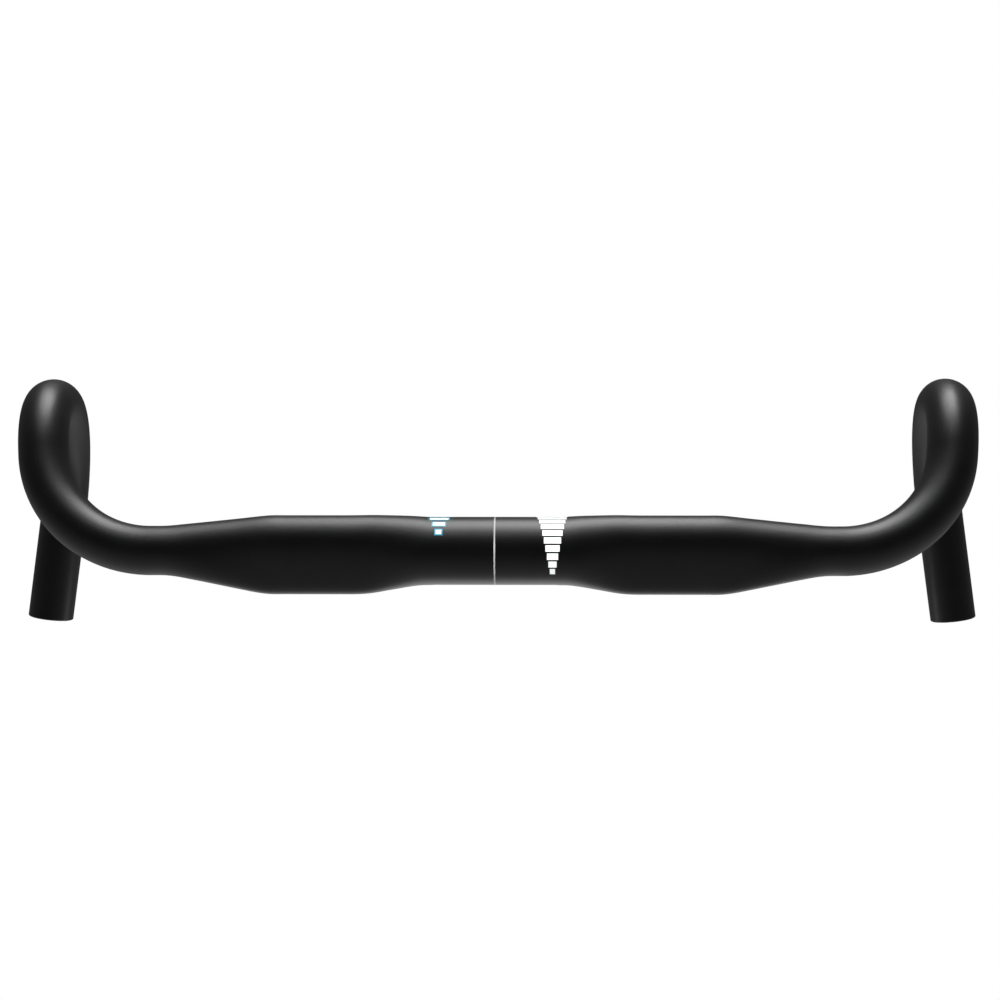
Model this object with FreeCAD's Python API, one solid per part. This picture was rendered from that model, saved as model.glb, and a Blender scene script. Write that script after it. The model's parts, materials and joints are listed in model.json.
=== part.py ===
import FreeCAD, Part
import math
import os

# Drop handlebar for a road or gravel bicycle: one butted and hydroformed aluminium tube with printed marks.
#
# The tube is modelled in the stretches that a rider names: clamp section, wing tops, tapers, corner bends,
# hooks and drop grips. Each stretch is a hollow solid that meets the next one face to face.
# +X runs along the clamp axis to the rider's right, +Y is forward and +Z is up.
# The origin is the middle of the clamp section. Lengths are in millimetres and angles in degrees.

Vector = FreeCAD.Vector

# Clamp section: the round middle that the stem grips
CLAMP_RADIUS = 15.9
CLAMP_HALF_LENGTH = 28.0
CLAMP_WALL = 2.3

# Wing tops: an aerofoil with its crest forward of the middle and a flat slope down towards the rider.
# A point's height is multiplied by 1 + FULLNESS * f - FADE * f**3, where f runs from -1 (rear) to 1 (front).
WING_HALF_CHORD = 18.5
WING_HALF_HEIGHT = 11.2
WING_SHIFT = -1.9
WING_FULLNESS = 0.45
WING_FADE = 0.26
WING_WALL = 1.7
SWELL_FROM, SWELL_TO, SWELL_EASE = 33.0, 59.0, 10.0
FORM_FROM, FORM_TO, FORM_EASE = 38.0, 62.0, 12.0
UNFORM_FROM, UNFORM_TO, UNFORM_EASE = 110.0, 150.0, 12.0

# Tapers: from the wing down to the waist where the corner bend begins
TAPER_JOIN = 100.0
TAPER_FROM, TAPER_TO, TAPER_EASE = 107.0, 153.4, 8.0
WAIST_X = 161.4
WAIST_HALF_WIDTH = 11.5
WAIST_HALF_HEIGHT = 12.3
STATION_STEP = 6.0

# Grip tube: the size that brake levers, tape and end plugs fit
TUBE_RADIUS = 11.9
TUBE_WALL = 1.8

# Bends, in the order in which the tube is bent. Inside the corner the waist's oval eases to the round tube.
CORNER_RADIUS, CORNER_ANGLE, CORNER_DIP = 56.0, 82.0, 19.0
CORNER_STATIONS = 14
ROUNDING_FROM, ROUNDING_TO, ROUNDING_EASE = 30.0, 72.0, 20.0
RAMP_LENGTH = 3.0
UPPER_HOOK_RADIUS, UPPER_HOOK_ANGLE, UPPER_HOOK_FLARE = 37.0, 58.6, 3.7
LOWER_HOOK_RADIUS, LOWER_HOOK_ANGLE, LOWER_HOOK_FLARE = 66.2, 97.4, 15.1

# Drop grips: the straight ends
DROP_LENGTH = 52.6
DROP_END_ROUNDING = 0.8

# Printed marks: thin films on the front and top of the bar
FILM = 0.04
CENTRE_LINE_WIDTH = 0.7
LEFT_BARS = [(-31.5, -20.0, 84.0, 92.0), (-30.0, -21.5, 66.0, 74.0), (-28.5, -23.0, 48.0, 56.0),
             (-27.0, -24.5, 30.0, 38.0)]
BORDER_LENGTH = 0.6
BORDER_ANGLE = 2.4
RIGHT_BAR_COUNT = 10
RIGHT_BAR_MIDDLE = 26.6
RIGHT_BAR_HALF_LENGTH = (7.4, 1.2)
RIGHT_BAR_ANGLES = (92.0, -44.0)
RIGHT_BAR_COVER = 0.8
FILM_TOOL_RADII = (11.0, 20.0)
MARKS_END = 52.0

POINTS_PER_SECTION = 16


def eased(x, start, end, ease):
    """0 before start and 1 after end, a straight ramp between them, and both corners rounded over ease."""

    def area(u):
        if u <= start:
            return 0.0
        if u >= end:
            return (end - start) / 2 + u - end
        return (u - start) ** 2 / (2 * (end - start))

    return (area(x + ease / 2) - area(x - ease / 2)) / ease


def tops_section(x):
    """(forward shift, twist, half width, half height, wall, forming) of the tops at x from the middle."""
    swell = eased(x, SWELL_FROM, SWELL_TO, SWELL_EASE)
    taper = eased(x, TAPER_FROM, TAPER_TO, TAPER_EASE)
    width = CLAMP_RADIUS + (WING_HALF_CHORD - CLAMP_RADIUS) * swell
    width += (WAIST_HALF_WIDTH - WING_HALF_CHORD) * taper
    height = CLAMP_RADIUS + (WING_HALF_HEIGHT - CLAMP_RADIUS) * swell
    height += (WAIST_HALF_HEIGHT - WING_HALF_HEIGHT) * taper
    forming = eased(x, FORM_FROM, FORM_TO, FORM_EASE) - eased(x, UNFORM_FROM, UNFORM_TO, UNFORM_EASE)
    wall = CLAMP_WALL + (WING_WALL - CLAMP_WALL) * swell + (TUBE_WALL - WING_WALL) * taper
    return WING_SHIFT * forming, math.radians(CORNER_DIP) * taper, width, height, wall, forming


class Station:
    """One cross-section: an oval across the tube's path, with its two half sizes along two directions.

    forming is 0 for a plain oval and 1 for the wing's aerofoil.
    """

    def __init__(self, centre, along, beside, half_along, half_beside, wall, forming=0.0):
        self.centre = centre
        self.along = along
        self.beside = beside
        self.half_along = half_along
        self.half_beside = half_beside
        self.wall = wall
        self.forming = forming

    def wire(self, grow):
        points = []
        for i in range(POINTS_PER_SECTION):
            angle = 2 * math.pi * i / POINTS_PER_SECTION
            front = math.cos(angle)
            fullness = 1 + self.forming * (WING_FULLNESS * front - WING_FADE * front**3)
            a = self.along * ((self.half_along + grow) * front)
            b = self.beside * ((self.half_beside + grow) * fullness * math.sin(angle))
            points.append(self.centre + a + b)
        curve = Part.BSplineCurve()
        curve.interpolate(Points=points, PeriodicFlag=True)
        return Part.Wire([curve.toShape()])


def loft(stations, grow=0.0):
    return Part.makeLoft([s.wire(grow) for s in stations], True, False)


def hollow(stations):
    bore = Part.makeLoft([s.wire(-s.wall) for s in stations], True, False)
    return loft(stations).cut(bore)


def tops_stations(side, start, end):
    count = math.ceil((end - start) / STATION_STEP)
    stations = []
    for i in range(count + 1):
        x = start + (end - start) * i / count
        shift, twist, width, height, wall, forming = tops_section(x)
        across = Vector(0, math.cos(twist), -math.sin(twist))
        upright = Vector(0, math.sin(twist), math.cos(twist))
        centre = Vector(side * x, shift, 0)
        stations.append(Station(centre, across, upright, width, height, wall, forming))
    return stations


class Path:
    """The grip tube's centre line, followed from the waist outwards."""

    def __init__(self, side):
        self.side = side
        self.position = Vector(side * WAIST_X, 0, 0)
        self.heading = Vector(side, 0, 0)

    def turn_towards(self, direction, flare):
        """Set the way to bend: square to the heading, flare degrees from direction towards the outside."""
        turn = (direction - self.heading * direction.dot(self.heading)).normalize()
        outwards = turn.cross(self.heading) * self.side
        self.turn = turn * math.cos(math.radians(flare)) + outwards * math.sin(math.radians(flare))

    def arc(self, radius, angle):
        """(position, heading, turn) after bending through angle."""
        a = math.radians(angle)
        pivot = self.position + self.turn * radius
        position = pivot + (self.heading * math.sin(a) - self.turn * math.cos(a)) * radius
        heading = self.heading * math.cos(a) + self.turn * math.sin(a)
        turn = self.turn * math.cos(a) - self.heading * math.sin(a)
        return position, heading, turn

    def corner(self, radius, angle):
        """A hollow bend whose section eases from the waist's oval to the round grip tube."""
        stations = []
        for i in range(CORNER_STATIONS + 1):
            turned = angle * i / CORNER_STATIONS
            position, heading, turn = self.arc(radius, turned)
            rounding = eased(turned, ROUNDING_FROM, ROUNDING_TO, ROUNDING_EASE)
            half_width = WAIST_HALF_WIDTH + (TUBE_RADIUS - WAIST_HALF_WIDTH) * rounding
            half_height = WAIST_HALF_HEIGHT + (TUBE_RADIUS - WAIST_HALF_HEIGHT) * rounding
            beside = heading.cross(turn) * self.side
            stations.append(Station(position, turn, beside, half_width, half_height, TUBE_WALL))
        self.position, self.heading, self.turn = self.arc(radius, angle)
        return hollow(stations)

    def bend(self, radius, angle):
        """A hollow bend of the round grip tube."""
        outer = Part.Wire([Part.makeCircle(TUBE_RADIUS, self.position, self.heading)])
        bore = Part.Wire([Part.makeCircle(TUBE_RADIUS - TUBE_WALL, self.position, self.heading)])
        section = Part.Face(outer).cut(Part.Face(bore))
        pivot = self.position + self.turn * radius
        solid = section.revolve(pivot, self.heading.cross(self.turn), angle).Solids[0]
        self.position, self.heading, self.turn = self.arc(radius, angle)
        return solid

    def straight(self, length):
        """A hollow straight stretch of the round grip tube."""
        outer = Part.makeCylinder(TUBE_RADIUS, length, self.position, self.heading)
        bore = Part.makeCylinder(TUBE_RADIUS - TUBE_WALL, length, self.position, self.heading)
        self.position = self.position + self.heading * length
        return outer.cut(bore)


def drop_grip(path):
    outer = Part.makeCylinder(TUBE_RADIUS, DROP_LENGTH, path.position, path.heading)
    mouth = [e for e in outer.Edges if (e.CenterOfMass - path.position).Length > DROP_LENGTH / 2]
    rims = [e for e in mouth if isinstance(e.Curve, Part.Circle)]
    outer = outer.makeFillet(DROP_END_ROUNDING, rims)
    bore = Part.makeCylinder(TUBE_RADIUS - TUBE_WALL, DROP_LENGTH, path.position, path.heading)
    return outer.cut(bore)


def tube_side(side, name):
    """Every stretch of the tube on one side of the clamp section."""
    path = Path(side)
    dip = math.radians(CORNER_DIP)
    path.turn_towards(Vector(0, math.cos(dip), -math.sin(dip)), 0.0)
    corner = path.corner(CORNER_RADIUS, CORNER_ANGLE)
    ramp = path.straight(RAMP_LENGTH)
    path.turn_towards(Vector(0, 0, -1), UPPER_HOOK_FLARE)
    upper = path.bend(UPPER_HOOK_RADIUS, UPPER_HOOK_ANGLE)
    path.turn_towards(path.turn, LOWER_HOOK_FLARE)
    lower = path.bend(LOWER_HOOK_RADIUS, LOWER_HOOK_ANGLE)
    return {
        name + "_wing_top": hollow(tops_stations(side, CLAMP_HALF_LENGTH, TAPER_JOIN)),
        name + "_top_taper": hollow(tops_stations(side, TAPER_JOIN, WAIST_X)),
        name + "_corner_bend": corner,
        name + "_ramp": ramp,
        name + "_upper_hook": upper,
        name + "_lower_hook": lower,
        name + "_drop_grip": drop_grip(path),
    }


def ring(radius, wall, start, length):
    axis = Vector(1, 0, 0)
    outer = Part.makeCylinder(radius, length, Vector(start, 0, 0), axis)
    return outer.cut(Part.makeCylinder(radius - wall, length, Vector(start, 0, 0), axis))


def skins(side, low, high):
    """The layer between low and high above the bar's surface, over the clamp section and the wing's root."""
    clamp = ring(CLAMP_RADIUS + high, high - low, -CLAMP_HALF_LENGTH, 2 * CLAMP_HALF_LENGTH)
    stations = tops_stations(side, CLAMP_HALF_LENGTH, MARKS_END)
    return [clamp, loft(stations, high).cut(loft(stations, low))]


def film_bar(layers, start, end, rear_angle, front_angle):
    """A printed bar from start to end along X, between two angles from straight up towards the front.

    A bar that runs past the clamp section's end comes as two solids that meet there.
    """
    inner, outer = FILM_TOOL_RADII
    corners = [(start, inner), (end, inner), (end, outer), (start, outer), (start, inner)]
    face = Part.Face(Part.makePolygon([Vector(x, 0, z) for x, z in corners]))
    face.rotate(Vector(0, 0, 0), Vector(1, 0, 0), -rear_angle)
    tool = face.revolve(Vector(0, 0, 0), Vector(1, 0, 0), rear_angle - front_angle)
    return [solid for layer in layers for solid in layer.common(tool).Solids]


def left_marks():
    under = skins(-1, 0.0, FILM)
    over = skins(-1, FILM, 2 * FILM)
    borders, bars = [], []
    for start, end, rear, front in LEFT_BARS:
        bars += film_bar(over, start, end, rear, front)
        borders += film_bar(
            under, start - BORDER_LENGTH, end + BORDER_LENGTH, rear - BORDER_ANGLE, front + BORDER_ANGLE
        )
    return Part.makeCompound(borders), Part.makeCompound(bars)


def right_marks():
    layers = skins(1, 0.0, FILM)
    front, rear = RIGHT_BAR_ANGLES
    pitch = (front - rear) / RIGHT_BAR_COUNT
    longest, shortest = RIGHT_BAR_HALF_LENGTH
    bars = []
    for i in range(RIGHT_BAR_COUNT):
        half = longest + (shortest - longest) * i / (RIGHT_BAR_COUNT - 1)
        angle = front - pitch * i
        bars += film_bar(
            layers, RIGHT_BAR_MIDDLE - half, RIGHT_BAR_MIDDLE + half, angle - pitch * RIGHT_BAR_COVER, angle
        )
    return Part.makeCompound(bars)


def build():
    parts = {
        "clamp_section": ring(CLAMP_RADIUS, CLAMP_WALL, -CLAMP_HALF_LENGTH, 2 * CLAMP_HALF_LENGTH),
        "centre_line": ring(CLAMP_RADIUS + FILM, FILM, -CENTRE_LINE_WIDTH / 2, CENTRE_LINE_WIDTH),
    }
    parts.update(tube_side(-1, "left"))
    parts.update(tube_side(1, "right"))
    parts["left_mark_borders"], parts["left_mark_bars"] = left_marks()
    parts["right_mark_bars"] = right_marks()
    return parts


os.makedirs("parts", exist_ok=True)
for node, shape in build().items():
    print(node, shape.isValid(), len(shape.Solids), round(shape.Volume, 2), shape.BoundBox)
    shape.exportStep("parts/" + node + ".step")
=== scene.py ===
import json
import math

import bpy
from mathutils import Euler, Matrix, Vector


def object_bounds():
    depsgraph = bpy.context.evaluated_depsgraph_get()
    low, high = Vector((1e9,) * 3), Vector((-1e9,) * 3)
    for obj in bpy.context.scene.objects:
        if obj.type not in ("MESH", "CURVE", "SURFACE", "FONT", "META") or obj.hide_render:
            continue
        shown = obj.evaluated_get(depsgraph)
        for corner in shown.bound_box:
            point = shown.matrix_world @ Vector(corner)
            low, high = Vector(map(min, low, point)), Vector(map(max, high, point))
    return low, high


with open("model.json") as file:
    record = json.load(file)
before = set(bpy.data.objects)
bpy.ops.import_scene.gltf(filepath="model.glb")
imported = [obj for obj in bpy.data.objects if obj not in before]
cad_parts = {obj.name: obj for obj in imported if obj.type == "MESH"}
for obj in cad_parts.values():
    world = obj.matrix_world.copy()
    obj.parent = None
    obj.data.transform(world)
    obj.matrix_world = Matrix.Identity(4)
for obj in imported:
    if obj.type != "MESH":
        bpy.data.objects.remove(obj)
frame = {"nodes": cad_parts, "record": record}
cad_low, cad_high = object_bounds()

MM = 0.001

# ---------------------------------------------------------------- camera
# Straight down on the tops, from nearly above the middle of the clamp section. The tilt is in degrees.
CAMERA_PLACE = (15.36 * MM, 11.26 * MM, 740.0 * MM)
CAMERA_TILT = (0.97, 1.01, 0.05)
CAMERA_LENS = 57.01

# ---------------------------------------------------------------- black tube
BLACK_DARK = (0.0080, 0.0080, 0.0086)
BLACK_LIGHT = (0.0145, 0.0145, 0.0154)
BLACK_ROUGHNESS = (0.36, 0.44)
MOTTLE_PER_M = 70.0
MOTTLE_DETAIL = 4.0
GRAIN_PER_M = 1500.0
GRAIN_DETAIL = 3.0
NOISE_ROUGHNESS = 0.6
PITS_PER_M = 3400.0
PIT_DEPTH = 0.02 * MM
PIT_STRENGTH_BARE = 0.5
PIT_STRENGTH_UNDER_INK = 0.25
COATING_IOR = 1.5

# ---------------------------------------------------------------- printed inks
INK_ROUGHNESS = (0.42, 0.58)
INK_COVER_SPREAD = (0.25, 0.6)
LINE_GREY = (0.36, 0.36, 0.37)
LINE_GREY_THIN = (0.25, 0.25, 0.26)
INK_WHITE = (0.88, 0.90, 0.90)
INK_WHITE_THIN = (0.74, 0.77, 0.78)
INK_BLUE = (0.03, 0.28, 0.40)
INK_BLUE_THIN = (0.02, 0.22, 0.32)


class Material:
    """A node material under construction."""

    def __init__(self, name):
        self.material = bpy.data.materials.new(name)
        self.material.use_nodes = True
        self.tree = self.material.node_tree
        self.shader = self.tree.nodes["Principled BSDF"]
        self.place = self.add("ShaderNodeTexCoord").outputs["Object"]

    def add(self, kind, **values):
        node = self.tree.nodes.new(kind)
        for key, value in values.items():
            setattr(node, key, value)
        return node

    def feed(self, socket, source):
        self.tree.links.new(source, socket)

    def noise(self, per_m, detail=2.0, roughness=0.5):
        node = self.add("ShaderNodeTexNoise")
        self.feed(node.inputs["Vector"], self.place)
        node.inputs["Scale"].default_value = per_m
        node.inputs["Detail"].default_value = detail
        node.inputs["Roughness"].default_value = roughness
        return node.outputs["Fac"]

    def cells(self, per_m):
        node = self.add("ShaderNodeTexVoronoi")
        self.feed(node.inputs["Vector"], self.place)
        node.inputs["Scale"].default_value = per_m
        return node.outputs["Distance"]

    def between(self, fac, low, high, spread=(0.3, 0.7)):
        """fac, which mostly lies in spread, turned into a number from low to high."""
        node = self.add("ShaderNodeMapRange")
        self.feed(node.inputs["Value"], fac)
        node.inputs["From Min"].default_value, node.inputs["From Max"].default_value = spread
        node.inputs["To Min"].default_value, node.inputs["To Max"].default_value = low, high
        return node.outputs["Result"]

    def blend(self, fac, first, second):
        node = self.add("ShaderNodeMix", data_type="RGBA")
        self.feed(node.inputs["Factor"], fac)
        for socket, colour in ((node.inputs[6], first), (node.inputs[7], second)):
            if isinstance(colour, tuple):
                socket.default_value = (*colour, 1.0)
            else:
                self.feed(socket, colour)
        return node.outputs[2]

    def bump(self, height, depth, strength=1.0):
        node = self.add("ShaderNodeBump")
        node.inputs["Strength"].default_value = strength
        node.inputs["Distance"].default_value = depth
        self.feed(node.inputs["Height"], height)
        return node.outputs["Normal"]

    def colour(self, source):
        self.feed(self.shader.inputs["Base Color"], source)

    def set(self, **values):
        for name, value in values.items():
            self.shader.inputs[name.replace("_", " ")].default_value = value


def anodised_black():
    """Matte black anodising on a fine bead-blasted surface."""
    m = Material("anodised_black")
    mottle = m.between(m.noise(MOTTLE_PER_M, MOTTLE_DETAIL, NOISE_ROUGHNESS), 0.0, 1.0)
    grain = m.noise(GRAIN_PER_M, GRAIN_DETAIL, NOISE_ROUGHNESS)
    m.colour(m.blend(mottle, BLACK_DARK, BLACK_LIGHT))
    m.feed(m.shader.inputs["Roughness"], m.between(grain, *BLACK_ROUGHNESS))
    m.feed(m.shader.inputs["Normal"], m.bump(m.cells(PITS_PER_M), PIT_DEPTH, PIT_STRENGTH_BARE))
    m.set(Metallic=0.0, IOR=COATING_IOR)
    return m.material


def print_ink(name, colour, thin_colour):
    """A screen-printed ink, a little darker in the specks where it is thin."""
    m = Material(name)
    cover = m.between(m.noise(GRAIN_PER_M, GRAIN_DETAIL, NOISE_ROUGHNESS), 0.0, 1.0, INK_COVER_SPREAD)
    m.colour(m.blend(cover, thin_colour, colour))
    m.feed(m.shader.inputs["Roughness"], m.between(m.noise(PITS_PER_M), *INK_ROUGHNESS))
    m.feed(m.shader.inputs["Normal"], m.bump(m.cells(PITS_PER_M), PIT_DEPTH, PIT_STRENGTH_UNDER_INK))
    m.set(Metallic=0.0, IOR=COATING_IOR)
    return m.material


FINISHES = {
    "tube": anodised_black(),
    "mark_grey": print_ink("line_ink", LINE_GREY, LINE_GREY_THIN),
    "mark_white": print_ink("white_ink", INK_WHITE, INK_WHITE_THIN),
    "mark_blue": print_ink("blue_ink", INK_BLUE, INK_BLUE_THIN),
}


def dress_frame():
    for part in frame["record"]["subparts"]:
        piece = frame["nodes"][part["node"]]
        piece.data.materials.clear()
        piece.data.materials.append(FINISHES[part["material_slot"]])


# ---------------------------------------------------------------- stage and light
FLOOR_SIZE = 20.0
BACKDROP_RADIUS = 9.0
BACKDROP_SEGMENTS = 48
BACKDROP_RINGS = 24
FLOOR_WHITE = 1.0
BACKDROP_WHITE = 0.9


def glowing(name, strength):
    m = Material(name)
    m.set(Base_Color=(0.0, 0.0, 0.0, 1.0), Roughness=1.0, Emission_Color=(1.0, 1.0, 1.0, 1.0),
          Emission_Strength=strength)
    m.shader.inputs["Specular IOR Level"].default_value = 0.0
    return m.material


def seen_only(piece):
    """The camera sees the piece, and it neither lights nor shadows the bar."""
    piece.visible_diffuse = False
    piece.visible_glossy = False
    piece.visible_transmission = False
    piece.visible_shadow = False


def make_stage():
    bpy.ops.mesh.primitive_plane_add(size=FLOOR_SIZE, location=(0.0, 0.0, cad_low.z))
    floor = bpy.context.object
    floor.name = "floor"
    floor.data.materials.append(glowing("floor_white", FLOOR_WHITE))
    seen_only(floor)
    bpy.ops.mesh.primitive_uv_sphere_add(segments=BACKDROP_SEGMENTS, ring_count=BACKDROP_RINGS,
                                         radius=BACKDROP_RADIUS)
    backdrop = bpy.context.object
    backdrop.name = "backdrop"
    backdrop.data.materials.append(glowing("backdrop_white", BACKDROP_WHITE))
    seen_only(backdrop)


def softbox(name, place, aim, width, height, radiance):
    """A rectangular light at place that faces aim and looks equally bright from everywhere."""
    data = bpy.data.lights.new(name, "AREA")
    data.shape = "RECTANGLE"
    data.size, data.size_y = width, height
    data.energy = radiance * math.pi * width * height
    lamp = bpy.data.objects.new(name, data)
    lamp.location = place
    lamp.rotation_euler = (Vector(aim) - Vector(place)).to_track_quat("-Z", "Y").to_euler()
    lamp.visible_camera = False
    bpy.context.scene.collection.objects.link(lamp)
    return lamp


# Brightness of the room by height of the direction, from straight down (0) to straight up (1).
ROOM_BRIGHTNESS = ((0.0, 0.32), (0.15, 0.36), (0.35, 0.38), (0.5, 0.30),
                   (0.7, 0.23), (0.85, 0.17), (1.0, 0.10))
# The gain on it goes from the first number of REAR_GAIN to the second as the direction's Y goes
# from the first number of REAR_FROM_TO to the second.
REAR_FROM_TO = (0.1, -0.7)
REAR_GAIN = (0.25, 1.4)

# Each softbox: name, place, the point that it faces, width, height and radiance. Lengths are in metres.
BAR_MIDDLE = (0.0, 0.0, 0.0)
ROOM_SOFTBOXES = (
    ("front_softbox", (0.30, 4.0, -0.6), BAR_MIDDLE, 1.6, 3.0, 8.2),
    ("left_softbox", (-0.98, 3.9, -0.6), BAR_MIDDLE, 0.8, 3.0, 4.6),
    ("high_softbox", (0.0, 3.6, 1.7), BAR_MIDDLE, 2.2, 1.4, 1.5),
    ("table_bounce", (0.0, -0.185, -0.139), (0.0, -0.185, 0.0), 0.38, 0.29, 1.0),
)
PRINT_LIGHT = ("print_light", (0.0, 0.12, 0.66), BAR_MIDDLE, 0.6, 0.4, 9.0)


def make_room():
    """A dim room: pale round the horizon, darker overhead and towards the front."""
    world = bpy.data.worlds.new("room")
    bpy.context.scene.world = world
    world.use_nodes = True
    tree = world.node_tree
    place = tree.nodes.new("ShaderNodeTexCoord")
    parts = tree.nodes.new("ShaderNodeSeparateXYZ")
    tree.links.new(place.outputs["Generated"], parts.inputs["Vector"])
    up = tree.nodes.new("ShaderNodeMapRange")
    up.inputs["From Min"].default_value = -1.0
    tree.links.new(parts.outputs["Z"], up.inputs["Value"])
    ramp = tree.nodes.new("ShaderNodeValToRGB")
    elements = ramp.color_ramp.elements
    for i, (position, value) in enumerate(ROOM_BRIGHTNESS):
        stop = elements[i] if i < 2 else elements.new(position)
        stop.position = position
        stop.color = (value, value, value, 1.0)
    tree.links.new(up.outputs["Result"], ramp.inputs["Fac"])
    rear = tree.nodes.new("ShaderNodeMapRange")
    rear.inputs["From Min"].default_value, rear.inputs["From Max"].default_value = REAR_FROM_TO
    rear.inputs["To Min"].default_value, rear.inputs["To Max"].default_value = REAR_GAIN
    tree.links.new(parts.outputs["Y"], rear.inputs["Value"])
    background = tree.nodes["Background"]
    tree.links.new(ramp.outputs["Color"], background.inputs["Color"])
    tree.links.new(rear.outputs["Result"], background.inputs["Strength"])


def make_lights():
    """The softboxes light everything, and the print light only the printed marks."""
    for row in ROOM_SOFTBOXES:
        softbox(*row)
    inks = bpy.data.collections.new("inks")
    for part in frame["record"]["subparts"]:
        if part["material_slot"] != "tube":
            inks.objects.link(frame["nodes"][part["node"]])
    print_light = softbox(*PRINT_LIGHT)
    print_light.light_linking.receiver_collection = inks


def make_camera():
    data = bpy.data.cameras.new("camera")
    data.lens = CAMERA_LENS
    camera = bpy.data.objects.new("camera", data)
    camera.location = CAMERA_PLACE
    camera.rotation_euler = Euler([math.radians(a) for a in CAMERA_TILT])
    bpy.context.scene.collection.objects.link(camera)
    bpy.context.scene.camera = camera


make_camera()
dress_frame()
make_stage()
make_room()
make_lights()
bpy.context.scene.view_settings.view_transform = "Standard"
